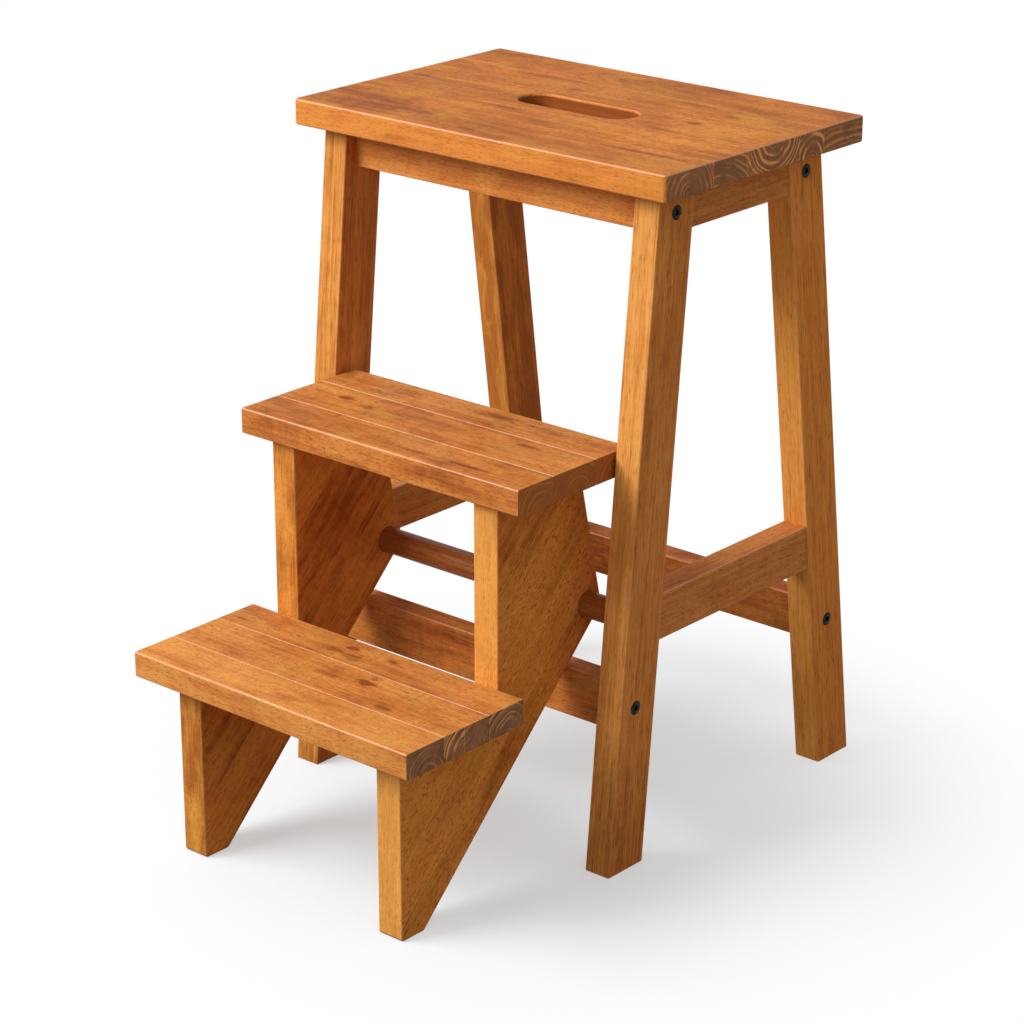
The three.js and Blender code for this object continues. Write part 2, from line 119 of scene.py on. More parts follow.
def edit(piece):
    only(piece)
    bpy.ops.object.mode_set(mode="EDIT")
    bpy.ops.mesh.select_all(action="DESELECT")


def done():
    bpy.ops.object.mode_set(mode="OBJECT")


def pick(piece, kind, test):
    """In edit mode, selects the corners, edges or faces that pass a test, and nothing else."""
    bpy.ops.mesh.select_all(action="DESELECT")
    bpy.ops.mesh.select_mode(type=kind)
    shape = bmesh.from_edit_mesh(piece.data)
    parts = {"VERT": shape.verts, "EDGE": shape.edges, "FACE": shape.faces}[kind]
    for part in parts:
        part.select_set(bool(test(part)))
    shape.select_flush_mode()
    bmesh.update_edit_mesh(piece.data)


def pick_all():
    bpy.ops.mesh.select_all(action="SELECT")


def ends_at(edge, axis, place):
    """Both ends of an edge lie in the plane across an axis at a place."""
    return all(abs(v.co[axis] - place) < TINY for v in edge.verts)


def runs_along(edge, direction):
    return abs((edge.verts[1].co - edge.verts[0].co).normalized().dot(direction)) > 0.9999


def ease(offset, segments=3, affect="EDGES"):
    """Rounds the selected edges. The new faces are marked as eased, because their colour is lighter there:
    rubbed finish, and a painted highlight.
    """
    bpy.ops.mesh.bevel(offset=offset, offset_type="OFFSET", segments=segments, profile=0.5,
                       affect=affect, clamp_overlap=False, material=EASED)


def draw_out(x=0.0, y=0.0, z=0.0):
    """Extrudes what is selected by a distance."""
    bpy.ops.mesh.extrude_region_move(TRANSFORM_OT_translate={"value": (x, y, z)})


def settle(piece):
    """Place, turn and scale go into the mesh, so that the object is at the origin."""
    only(piece)
    bpy.ops.object.transform_apply(location=True, rotation=True, scale=True)
    while len(piece.data.materials) <= EASED:
        piece.data.materials.append(None)


def start(name):
    """The primitive that was just added gets its name and settles."""
    piece = bpy.context.object
    piece.name = name
    settle(piece)
    return piece


def block(name, low, high):
    low, high = Vector(low), Vector(high)
    bpy.ops.mesh.primitive_cube_add(size=1, location=(low + high) / 2, scale=high - low)
    return start(name)


def cylinder(name, radius, end, other_end, sides):
    end, other_end = Vector(end), Vector(other_end)
    way = other_end - end
    bpy.ops.mesh.primitive_cylinder_add(vertices=sides, radius=radius, depth=way.length,
                                        location=(end + other_end) / 2,
                                        rotation=way.to_track_quat("Z", "Y").to_euler())
    return start(name)


def cut(piece, tool):
    """Takes a tool's shape out of a piece, and removes the tool."""
    only(piece)
    change = piece.modifiers.new("cut", "BOOLEAN")
    change.operation = "DIFFERENCE"
    change.solver = "EXACT"
    change.object = tool
    bpy.ops.object.modifier_apply(modifier=change.name)
    bpy.data.objects.remove(tool)


def drill(piece, radius, end, other_end, sides=32):
    cut(piece, cylinder("drill", radius, end, other_end, sides))


def smooth(piece, degrees=35):
    """Eases turn the light softly, and the flat faces beside them stay flat."""
    only(piece)
    bpy.ops.object.shade_smooth_by_angle(angle=math.radians(degrees))
    change = piece.modifiers.new("normals", "WEIGHTED_NORMAL")
    change.keep_sharp = True
    bpy.ops.object.modifier_apply(modifier=change.name)


def fit(piece, body, node, material):
    """A finished piece rides on its body and stands for its CAD node. The marks of its eased faces
    become an attribute that its material reads."""
    smooth(piece)
    eased = piece.data.attributes.new("eased", "FLOAT", "FACE")
    for face, mark in zip(piece.data.polygons, eased.data):
        mark.value = face.material_index
        face.material_index = 0
    piece.data.materials.clear()
    piece.data.materials.append(material)
    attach(piece, body)
    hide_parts(node)


# Shader maths
class Tone:
    """A node's output socket, with arithmetic."""

    def __init__(self, finish, socket):
        self.finish = finish
        self.socket = socket

    def math(self, operation, *others):
        return self.finish.node("Math", "Value", {"operation": operation},
                                {0: self, **dict(enumerate(others, 1))})

    def turned(self, operation, first):
        return self.finish.node("Math", "Value", {"operation": operation}, {0: first, 1: self})

    def __add__(self, other):
        return self.math("ADD", other)

    def __sub__(self, other):
        return self.math("SUBTRACT", other)

    def __rsub__(self, other):
        return self.turned("SUBTRACT", other)

    def __mul__(self, other):
        return self.math("MULTIPLY", other)

    def __truediv__(self, other):
        return self.math("DIVIDE", other)

    def __pow__(self, other):
        return self.math("POWER", other)

    def __gt__(self, other):
        return self.math("GREATER_THAN", other)

    def __lt__(self, other):
        return self.math("LESS_THAN", other)

    def __abs__(self):
        return self.math("ABSOLUTE")

    __radd__ = __add__
    __rmul__ = __mul__

    def between(self, low, high):
        """0 below low and 1 above high, and a soft step from one to the other."""
        return self.finish.node("MapRange", "Result", {"interpolation_type": "SMOOTHSTEP"},
                                {"Value": self, "From Min": low, "From Max": high})


class Finish:
    """The nodes of a material or of the world."""

    def __init__(self, owner):
        self.owner = owner
        owner.use_nodes = True
        self.tree = owner.node_tree
        self.tree.nodes.clear()

    def node(self, kind, output, settings=None, sockets=None):
        """A node of a kind, its settings first, then what goes into its sockets. Gives one of its
        outputs, if it has any."""
        made = self.tree.nodes.new("ShaderNode" + kind)
        for name, value in (settings or {}).items():
            if name == "stops":
                ramp = made.color_ramp.elements
                while len(ramp) < len(value):
                    ramp.new(0.5)
                for stop, (place, colour) in zip(ramp, value):
                    stop.position = place
                    stop.color = (*colour, 1)
            else:
                setattr(made, name, value)
        for name, value in (sockets or {}).items():
            socket = made.inputs[name] if isinstance(name, int) else next(
                s for s in made.inputs if s.enabled and s.name == name)
            if isinstance(value, Tone):
                self.tree.links.new(value.socket, socket)
            elif hasattr(value, "__len__") and len(socket.default_value) == 4 and len(value) == 3:
                socket.default_value = (*value, 1)
            else:
                socket.default_value = value
        if output:
            return Tone(self, next(s for s in made.outputs if s.enabled and s.name == output))

    def split(self, vector):
        """The three numbers of a place or direction."""
        made = self.node("SeparateXYZ", "X", {}, {0: vector}).socket.node
        return [Tone(self, made.outputs[axis]) for axis in "XYZ"]

    def dot(self, first, second):
        return self.node("VectorMath", "Value", {"operation": "DOT_PRODUCT"}, {0: first, 1: second})

    def mix(self, first, second, amount, how="MIX"):
        return self.node("Mix", "Result", {"data_type": "RGBA", "blend_type": how, "clamp_factor": True},
                         {"Factor": amount, "A": first, "B": second})

    def noise(self, place, stretch, shift, detail=2.0, roughness=0.5, distortion=0.0):
        """Noise on a stretched place: stretch is how many features there are in a metre each way."""
        moved = self.node("Mapping", "Vector", {}, {"Vector": place, "Location": shift, "Scale": stretch})
        return self.node("TexNoise", "Fac", {}, {"Vector": moved, "Scale": 1.0, "Detail": detail,
                                                 "Roughness": roughness, "Distortion": distortion})

    def bump(self, height, strength, depth):
        return self.node("Bump", "Normal", {}, {"Strength": strength, "Distance": depth, "Height": height})

    def surface(self, **sockets):
        """The shader of the surface, and the end of the material."""
        named = {name.replace("_", " "): value for name, value in sockets.items()}
        self.end(self.node("BsdfPrincipled", "BSDF", {}, named))
        return self.owner

    def end(self, shader, kind="OutputMaterial"):
        self.node(kind, None, {}, {"Surface": shader})


def new_finish(name):
    return Finish(bpy.data.materials.new(name))


# Wood

# Each stain: its dark, middle, light and yellow colour, and the three colours of its end grain
TOP_STAIN = dict(
    dark=(0.28, 0.072, 0.018), middle=(0.57, 0.184, 0.040), light=(0.76, 0.300, 0.072),
    yellow=(0.64, 0.300, 0.065),
    end_dark=(0.175, 0.085, 0.042), end_middle=(0.40, 0.175, 0.075), end_light=(0.95, 0.420, 0.150))
SEAT_STAIN = dict(
    TOP_STAIN, middle=(0.57, 0.172, 0.026), light=(0.78, 0.283, 0.048), yellow=(0.67, 0.272, 0.038),
    end_dark=(0.220, 0.106, 0.052), end_middle=(0.44, 0.177, 0.072), end_light=(1.0, 0.410, 0.130))
UPPER_TREAD_STAIN = dict(
    TOP_STAIN,
    end_dark=(0.36, 0.108, 0.028), end_middle=(0.47, 0.148, 0.038), end_light=(0.60, 0.205, 0.050))
LEG_STAIN = dict(
    dark=(0.45, 0.150, 0.028), middle=(0.74, 0.290, 0.062), light=(0.89, 0.420, 0.115),
    yellow=(0.78, 0.400, 0.095),
    end_dark=(0.26, 0.100, 0.035), end_middle=(0.40, 0.160, 0.050), end_light=(0.60, 0.250, 0.080))
# the rear legs: more saturated orange, painted warm light bounced onto them from the wood round them
REAR_LEG_BOUNCE_STAIN = dict(
    LEG_STAIN, middle=(0.76, 0.275, 0.048), light=(0.90, 0.385, 0.085), yellow=(0.86, 0.370, 0.060))
PANEL_STAIN = dict(
    dark=(0.38, 0.105, 0.016), middle=(0.76, 0.285, 0.050), light=(0.92, 0.400, 0.080),
    yellow=(0.76, 0.350, 0.052),
    end_dark=(0.26, 0.100, 0.035), end_middle=(0.40, 0.160, 0.050), end_light=(0.60, 0.250, 0.080))
RAIL_STAIN = dict(
    dark=(0.27, 0.062, 0.014), middle=(0.61, 0.185, 0.040), light=(0.80, 0.300, 0.072),
    yellow=(0.62, 0.270, 0.056),
    end_dark=(0.20, 0.080, 0.030), end_middle=(0.36, 0.130, 0.045), end_light=(0.55, 0.220, 0.080))
ROD_STAIN = dict(
    dark=(0.20, 0.056, 0.012), middle=(0.36, 0.108, 0.022), light=(0.49, 0.172, 0.038),
    yellow=(0.32, 0.110, 0.024),
    end_dark=(0.20, 0.080, 0.030), end_middle=(0.30, 0.110, 0.040), end_light=(0.50, 0.200, 0.080))
LIPPING = (0.96, 0.470, 0.110)
# painted light: lighter, pinker patches on the seat's faces that look to the front
SEAT_FRONT_LIGHT = (0.84, 0.300, 0.095)
PORE = (0.16, 0.042, 0.009)
# the eased edges' colour: rubbed finish, and a painted highlight where they catch the light
RUBBED_AND_HIGHLIGHT = (0.88, 0.470, 0.290)
# painted shade: the tint of the faces that look to the sides
SIDE_SHADE_TINT = (0.97, 0.77, 0.68)

# Each kind of figure: how many features there are in a metre along the fibres, across them and through
# the board, then the noise's detail, roughness and distortion
WANDER = (2.2, 16, 16), 2
CROOK = (12, 75, 75), 2, 0.6
STREAK = (8, 260, 260), 3, 0.6
FIBRE = (34, 1100, 1100), 2, 0.6
PATCH = (11, 30, 30), 3, 0.55, 0.5
CLOUD = (32, 75, 75), 3, 0.65, 0.8
GOLDEN = (19, 72, 72), 3, 0.55, 0.8
SMOKE = (14, 130, 130), 2, 0.5, 0.3
RIPPLE = (190, 34, 34), 2, 0.6
SMUDGE = (90, 200, 200), 3, 0.65
PORES_ACROSS = 1000

RINGS_IN_A_METRE = 270
WANDER_REACH = 16 * MM
CROOK_REACH = 2.6 * MM
BOARD_STEP_ALONG, BOARD_STEP_THROUGH = 0.31, 0.17  # how far apart in the log each next board was sawn
LIPPING_SHIFT = 40 * MM   # how far apart in the log a panel and the lipping at its front were sawn
SLOT_WALL_TOP = 9.6 * MM  # above the middle of the seat's thickness; over it is the eased rim
SEAM = 0.15 * MM, 0.60 * MM     # from where to where the lighter line of a glued joint, a painted highlight, fades out on the faces
END_SEAM = 0.2 * MM, 0.7 * MM   # and on the end grain
RELIEF = 0.10 * MM              # how deep the bump of fibres and pores is

# How far each kind of figure moves the wood's tone, which goes from 0, dark, to 1, light
STREAK_TONE = 0.72
FIBRE_TONE, STRIPED_FIBRE_TONE = 0.42, 0.28
RING_TONE = 0.16
PATCH_TONE, CLOUD_TONE = 1.20, 0.75
RIPPLE_TONE, GOLDEN_RIPPLE_TONE = 0.30, 0.50


def wood(name, stain, along, across, centre, seed, boards=(), hearts=((0.0, -30.0),), tones=(0.0,),
         arcs=(1.0,), knots=(), figure=1.0, gold=0.55, stripes=1.0, broad=1.0, pores=1.0,
         pore_marks=(210, 0.53), front_painted_light=0.0, redder_side_shade=0.0, lipping=0.0, opening=None, gloss=0.0):
    """Stained wood with its fibres along one direction, and across another in the face of the board.
    Places and sizes in the wood are in millimetres from the centre.

    boards: where boards are glued edge to edge, across the fibres
    hearts: for each board, the middle of its growth rings, across the fibres and through the board
    tones: how much lighter each board is
    arcs: how strongly each board's rings show on its end grain
    knots: dark marks, each with its place along and across, half its length and width, and how dark
        it is, which is less than 0 for a light mark
    figure, gold, stripes, pores: how strong clouds and ripple, golden patches, long streaks and pores are
    broad: how much larger than usual the clouds and golden patches are
    pore_marks: how many pores there are in a metre along, and the level of the noise that one starts at
    front_painted_light: painted light, how much lighter the faces are that look to the front, towards the
    lamps; less than 0 for painted shade
    redder_side_shade: painted shade, how much redder the faces are that look to the sides, as the wood
    looks in shade
    lipping: how much lighter a strip with upright fibres is on the faces that look to the front; 0 for none
    opening: half the length and width of the slot in metres; its walls are darker, partly stain soaked into
    the cut and partly painted shade, and the highlight on its rim is weaker
    gloss: how much of the varnish shines"""
    chance = random.Random(seed)
    finish = new_finish(name)
    along, across = Vector(along).normalized(), Vector(across).normalized()
    turn = Matrix((along, across, along.cross(across)))
    place = finish.node("TexCoord", "Object")
    u, v, w = finish.split(finish.node("Mapping", "Vector", {}, {
        "Vector": place, "Rotation": turn.to_euler(), "Location": -(turn @ Vector(centre))}))

    normal = finish.node("TexCoord", "Normal")
    upward = finish.split(normal)[2]
    front = finish.dot(normal, -Y) > 0.6
    end = abs(finish.dot(normal, along)).between(0.80, 0.93)
    if lipping:
        x, _, z = finish.split(place)
        u = u + (z - u) * front
        v = v + (x - (centre[0] - LIPPING_SHIFT) - v) * front
        w = w * (1 - front)

    past = [v > edge * MM for edge in boards]

    def by_board(values):
        total = values[0]
        for step, before, after in zip(past, values, values[1:]):
            total = step * (after - before) + total
        return total

    own = finish.node("CombineXYZ", "Vector", {}, {
        "X": u + by_board([BOARD_STEP_ALONG * i for i in range(len(tones))]), "Y": v,
        "Z": w + by_board([BOARD_STEP_THROUGH * i for i in range(len(tones))])})

    def figured(kind, longer=1.0, wider=1.0):
        """Noise of one kind, at a place of its own in the log."""
        (lengthwise, sidewise, through), *fineness = kind
        return finish.noise(own, (lengthwise / longer, sidewise / wider, through / wider),
                            [chance.uniform(-3, 3) for _ in range(3)], *fineness)

    # growth rings about each board's heart, with a wander along the fibres
    wander = figured(WANDER)
    crook = figured(CROOK)
    side = v - by_board([heart[0] * MM for heart in hearts])
    rise = w - by_board([heart[1] * MM for heart in hearts])
    radius = ((side * side + rise * rise) ** 0.5
              + (wander - 0.5) * WANDER_REACH + (crook - 0.5) * CROOK_REACH)
    rings = finish.node("TexNoise", "Fac", {"noise_dimensions": "1D"}, {
        "W": radius * RINGS_IN_A_METRE + chance.uniform(0, 50), "Scale": 1.0, "Detail": 2.0,
        "Roughness": 0.6})
    ring = rings.between(0.36, 0.64)
    arc = rings.between(0.46, 0.62)

    # fibres, pores, stain blotches and the soft ripple across the fibres
    streak = figured(STREAK)
    fibre = figured(FIBRE)
    fleck = figured(((pore_marks[0], PORES_ACROSS, PORES_ACROSS), 1, 0.5, 0.6))
    pore = fleck.between(pore_marks[1], 0.71)
    patch = figured(PATCH)
    cloud = figured(CLOUD, broad, broad)
    golden = figured(GOLDEN, broad, broad ** 1.6).between(0.44, 0.74)
    smoke = figured(SMOKE).between(0.58, 0.74)
    ripple = figured(RIPPLE)

    # the eased edges: rubbed finish and a painted highlight, most on those that catch the light from above,
    # little on those that face down
    highlit_brow = upward.between(0.25, 0.60) * (1 - upward.between(0.80, 0.97))
    wear_and_highlight = (finish.node("Attribute", "Fac", {"attribute_name": "eased"}) * (1 - end)
            * upward.between(-0.6, -0.1) * (0.26 + highlit_brow * 0.70))

    # the tone: the wood's figure, the boards' own tones, and painted light on the faces that look to the
    # front
    tone = (0.5 + (streak - 0.5) * (STREAK_TONE * stripes)
            + (fibre - 0.5) * (FIBRE_TONE + STRIPED_FIBRE_TONE * stripes) + (ring - 0.5) * RING_TONE
            + by_board(tones) + front * front_painted_light
            + ((patch - 0.5) * PATCH_TONE + (cloud - 0.5) * CLOUD_TONE
               + (ripple - 0.5) * (RIPPLE_TONE + golden * GOLDEN_RIPPLE_TONE)) * figure)
    if knots:
        smudge = (figured(SMUDGE) - 0.5) * 2.4
        for knot_u, knot_v, length, width, depth in knots:
            off_u = (u - knot_u * MM) / (length * MM)
            off_v = (v - knot_v * MM) / (width * MM)
            off = ((off_u * off_u + off_v * off_v) ** 0.5 + smudge).between(-0.1, 1.6)
            tone = tone - (1 - off) * (depth * 1.1)
    colour = finish.node("ValToRGB", "Color", {"stops": [
        (0.08, stain["dark"]), (0.50, stain["middle"]), (0.92, stain["light"])]}, {"Fac": tone})
    colour = finish.mix(colour, stain["yellow"], golden * gold)
    colour = finish.mix(colour, stain["dark"], smoke * (0.42 * stripes))
    colour = finish.mix(colour, PORE, pore * (0.20 + patch * 0.50) * pores * (1 - end))
    if lipping:
        colour = finish.mix(colour, LIPPING, front * (fibre * 1.6 + 0.2) * lipping)
    # painted shade: the faces that look to the sides are redder, as the wood looks in shade
    if redder_side_shade:
        colour = finish.mix(colour, finish.mix(colour, SIDE_SHADE_TINT, 1.0, "MULTIPLY"),
                            abs(finish.dot(normal, X)) * redder_side_shade)

    # end grain: a soaked ground with lighter arcs, where the patches let them show
    grain = finish.mix(stain["end_dark"], stain["end_middle"],
                       streak * 0.5 + cloud.between(0.35, 0.65) * 0.5)
    grain = finish.mix(grain, stain["end_light"],
                       arc * (0.12 + patch.between(0.38, 0.56) * 0.85) * by_board(arcs))
    # a lighter line along each glued joint, on the faces and on the end grain: the joint's own line, drawn
    # light as a painted highlight
    for edge in boards:
        off = abs(v - edge * MM)
        colour = finish.mix(colour, stain["light"], (1 - off.between(*SEAM)) * 0.35 * (1 - end))
        grain = finish.mix(grain, stain["end_light"], (1 - off.between(*END_SEAM)) * 0.35)
    colour = finish.mix(colour, grain, end)

    # painted shade on the slot's walls below the rim, partly stain soaked into the cut, and less painted
    # highlight round the slot
    if opening:
        round_it = (opening[0] > abs(u)) * (opening[1] > abs(v - SLOT_SETBACK))
        wear_and_highlight = wear_and_highlight * (1 - round_it * 0.65)
        colour = finish.mix(colour, stain["dark"], round_it * (SLOT_WALL_TOP > w) * (0.62 + streak * 0.6))
        # painted light in patches on the seat's faces that look to the front
        colour = finish.mix(colour, SEAT_FRONT_LIGHT, front * (1 - round_it) * (0.04 + patch * 0.30))
    # painted highlight and rubbed finish on the eased edges, broken up along them
    colour = finish.mix(colour, RUBBED_AND_HIGHLIGHT, wear_and_highlight * (0.12 + fleck.between(0.35, 0.60) * 0.45))

    height = (fibre - 0.5) * 0.35 + (streak - 0.5) * 0.4 - pore * 0.9 + (ring - 0.5) * 0.15
    rough = 0.50 + (streak - 0.5) * 0.22 + pore * 0.18 + end * 0.18 - (patch - 0.5) * 0.12 - wear_and_highlight * 0.12
    coat = wear_and_highlight * 0.5 + (1 - end) * (gloss * (1 - pore * 0.6))
    return finish.surface(Base_Color=colour, Roughness=rough, Normal=finish.bump(height, 0.5, RELIEF),
                          Coat_Weight=coat, Coat_Roughness=0.28, Specular_IOR_Level=0.04)


# Beech and steel
def dowel_wood():
    finish = new_finish("turned_beech")
    place = finish.node("TexCoord", "Object")
    streak = finish.noise(place, (900, 900, 60), (1.3, 0.2, 2.1), 2)
    fleck = finish.noise(place, (1500, 1500, 420), (0.3, 1.2, 0.1), 1).between(0.60, 0.72)
    colour = finish.mix((0.42, 0.25, 0.12), (0.66, 0.44, 0.24), streak.between(0.25, 0.75))
    colour = finish.mix(colour, (0.25, 0.13, 0.06), fleck * 0.5)
    return finish.surface(Base_Color=colour, Roughness=0.55 + fleck * 0.2,
                          Normal=finish.bump(streak, 0.4, 0.1 * MM))


def black_oxide():
    """Black steel of the bolts: an even dark skin, rubbed a little brighter in places."""
    finish = new_finish("black_oxide")
    place = finish.node("TexCoord", "Object")
    mottle = finish.noise(place, (900, 900, 900), (0.4, 1.1, 2.3), 3, 0.6)
    rub = finish.noise(place, (240, 240, 240), (2.4, 0.1, 1.3), 2).between(0.50, 0.75)
    colour = finish.mix((0.002, 0.002, 0.002), (0.010, 0.010, 0.010), mottle * 0.6 + rub * 0.4)
    return finish.surface(Base_Color=colour, Roughness=0.45 + mottle * 0.2,
                          Normal=finish.bump(mottle, 0.3, 0.05 * MM), Specular_IOR_Level=0.12)


def zinc_plate():
    """Bright zinc on the nuts and screws, with fine cloudy crystals."""
    finish = new_finish("zinc_plate")
    place = finish.node("TexCoord", "Object")
    crystal = finish.noise(place, (1100, 1100, 1100), (0.2, 2.1, 1.3), 3, 0.6)
    stain = finish.noise(place, (160, 160, 160), (1.4, 0.6, 0.3), 2).between(0.45, 0.75)
    colour = finish.mix((0.52, 0.52, 0.50), (0.74, 0.73, 0.70), crystal)
    colour = finish.mix(colour, (0.45, 0.42, 0.34), stain * 0.35)
    return finish.surface(Base_Color=colour, Roughness=0.28 + crystal * 0.2, Metallic=1.0,
                          Normal=finish.bump(crystal, 0.3, 0.04 * MM))


# Seat
seat_low, seat_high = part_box("seat_panel")
seat_middle = (seat_low + seat_high) / 2


def seat_panel():
    """The seat board with its hand slot: a rounded plate, a rounded opening, the ring between them
    drawn down to the seat's thickness, and the edges of plate and opening eased at top and bottom."""
    bpy.ops.mesh.primitive_plane_add(size=1, location=(seat_middle.x, seat_middle.y, seat_high.z))
    bpy.context.object.scale = (seat_high.x - seat_low.x, seat_high.y - seat_low.y, 1)
    piece = start("seat_board")
    edit(piece)
    pick(piece, "VERT", lambda v: True)
    ease(SEAT_CORNER, 5, "VERTICES")
    bpy.ops.mesh.select_all(action="DESELECT")
    slot_middle = (seat_middle.x, seat_middle.y + SLOT_SETBACK, seat_high.z)
    bpy.ops.mesh.primitive_plane_add(size=1, location=slot_middle)
    bpy.ops.transform.resize(value=(SLOT_LENGTH, SLOT_WIDTH, 1), center_override=slot_middle)
    ease(SLOT_WIDTH / 2 - TINY / 10, 12, "VERTICES")
    bpy.ops.mesh.remove_doubles(threshold=TINY)
    pick_all()
    bpy.ops.mesh.delete(type="ONLY_FACE")
    pick_all()
    bpy.ops.mesh.select_mode(type="EDGE")
    pick_all()
    bpy.ops.mesh.bridge_edge_loops()
    pick_all()
    draw_out(z=seat_low.z - seat_high.z)
    pick_all()
    bpy.ops.mesh.normals_make_consistent(inside=False)
    bpy.ops.mesh.dissolve_limited(angle_limit=math.radians(0.5))
    for level in (seat_low.z, seat_high.z):
        pick(piece, "EDGE", lambda e: ends_at(e, 2, level) and any(
            abs(f.normal.z) < 0.5 for f in e.link_faces))
        ease(SEAT_EASE, 4)
    done()
    return piece


# Board joints and hearts of the seat, measured from its front edge
SEAT_JOINTS = (64, 111, 186, 222)
SEAT_HEARTS = ((30, -10), (70, -46), (148, 17), (206, -14), (250, -160))
SEAT_KNOTS = [
    (118.4, 18.5, 9, 5, 0.8), (131.4, 58.4, 8, 4, 0.6), (118.7, -18, 26, 3, 0.4), (163, -92, 46, 3.5, 0.5),
    (-20.4, -124.4, 9, 5, 0.7), (-58, -42.3, 30, 2.5, 0.4), (-96.7, -106.8, 28, 2.5, 0.4),
    (-188.7, 4.6, 9, 5, 0.6), (-42.2, 49.4, 10, 5, 0.6)]
# Painted light and shade on the seat: lighter patches to the right, darker ones to the left, each with its
# place, half length and width, and how dark it is
SEAT_PAINTED_LIGHT_AND_SHADE = [
    (125, -52, 85, 26, -0.34), (150, 8, 55, 36, -0.30), (95, 62, 70, 18, -0.20), (110, 105, 60, 24, -0.12),
    (-175, -110, 60, 32, 0.24), (-70, -112, 50, 26, 0.16), (-170, 8, 50, 32, 0.26), (0, 112, 55, 26, 0.20)]
SLOT_RIM = SEAT_EASE + 0.1 * MM  # how far past the opening its painted shade and the weaker highlight on its rim reach

fit(seat_panel(), "frame", "seat_panel", wood(
    "seat_wood", SEAT_STAIN, X, Y, seat_middle, 11,
    boards=[place - SEAT_HALF_DEPTH for place in SEAT_JOINTS],
    hearts=[(place - SEAT_HALF_DEPTH, rise) for place, rise in SEAT_HEARTS],
    tones=(-0.10, -0.10, -0.07, -0.09, -0.04), arcs=(0.9, 0.6, 1.2, 1.3, 0.5),
    knots=SEAT_KNOTS + SEAT_PAINTED_LIGHT_AND_SHADE, figure=0.72, gold=0.6, stripes=0.38, broad=1.8, front_painted_light=0.24,
    opening=(SLOT_LENGTH / 2 + SLOT_RIM, SLOT_WIDTH / 2 + SLOT_RIM)))

# Legs

# Each leg's seed, the way its foot leans, 1 for the front and -1 for the rear, its tone, and how much
# lighter its front is, as painted light. The rear left leg's darker tone and front are painted shade under
# the seat; the rear right leg's lighter tone and front are painted light.
LEGS = {
    "front_left_leg": (21, 1, -0.10, 0.0), "front_right_leg": (22, 1, 0.02, 0.05),
    "rear_left_leg": (23, -1, -0.36, -0.20), "rear_right_leg": (24, -1, 0.16, 0.18)}
FOOT_SHADE = (285, 0, 130, 80, 0.20)  # painted shade: every leg is darker towards the floor
rod_low, rod_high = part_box("pivot_rod")
rod_axis = (rod_low + rod_high) / 2
rod_radius = (rod_high.z - rod_low.z) / 2


def bolt_box(leg_name, kind):
    end, hand, _ = leg_name.split("_")
    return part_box(f"{end}_{hand}_{kind}_bolt")


def leg(name, lean):
    """A leg is a straight board whose foot is drawn out to the front or the rear, with a round
    recess for each bolt head; a front leg has the socket for the rod too."""
    low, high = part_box(name)
    top_face = high.y - LEG_DEPTH if lean > 0 else low.y
    foot_face = low.y if lean > 0 else high.y - LEG_DEPTH
    piece = block(name + "_wood", (low.x, top_face, low.z), (high.x, top_face + LEG_DEPTH, high.z))
    edit(piece)
    pick(piece, "VERT", lambda v: v.co.z < low.z + TINY)
    bpy.ops.transform.translate(value=(0, foot_face - top_face, 0))
    pick(piece, "EDGE", lambda e: True)
    ease(LEG_EASE)
    done()
    outward = 1 if low.x > 0 else -1
    outer, inner = (high.x, low.x) if outward > 0 else (low.x, high.x)
    recess = outward * (BOLT_HEAD_HEIGHT - BOLT_PROUD + JOINT_GAP)
    for kind in ("apron", "rail"):
        bolt_low, bolt_high = bolt_box(name, kind)
        middle = (bolt_low + bolt_high) / 2
        drill(piece, BOLT_HEAD / 2 + JOINT_GAP, (outer - recess, middle.y, middle.z),
              (outer + recess, middle.y, middle.z), 48)
    if name.startswith("front"):
        reach = rod_high.x if outward > 0 else rod_low.x
        drill(piece, rod_radius + JOINT_GAP, (reach, rod_axis.y, rod_axis.z),
              (inner - outward * ROD_DRILL_START, rod_axis.y, rod_axis.z), 64)
    return piece, Vector((0, foot_face - top_face, low.z - high.z)), (low + high) / 2


for name, (seed, lean, tone, front_painted_light) in LEGS.items():
    piece, along, middle = leg(name, lean)
    fit(piece, "frame", name, wood(
        name + "_wood", LEG_STAIN if lean > 0 else REAR_LEG_BOUNCE_STAIN, along, X, middle, seed,
        hearts=((-30, 24),), tones=(tone,), knots=[FOOT_SHADE], figure=0.5, gold=0.3 if lean > 0 else 0.55,
        stripes=1.25, pores=0.95, pore_marks=(75, 0.57), front_painted_light=front_painted_light, redder_side_shade=0.8))

# Aprons and rails across

# The face that each piece's nuts are put in from, 1 for its rear and -1 for its front, and its tone
CROSS_PIECES = {
    "front_apron": (1, 0.21), "rear_apron": (-1, -0.05), "front_rail": (1, -0.02), "rear_rail": (1, -0.20)}


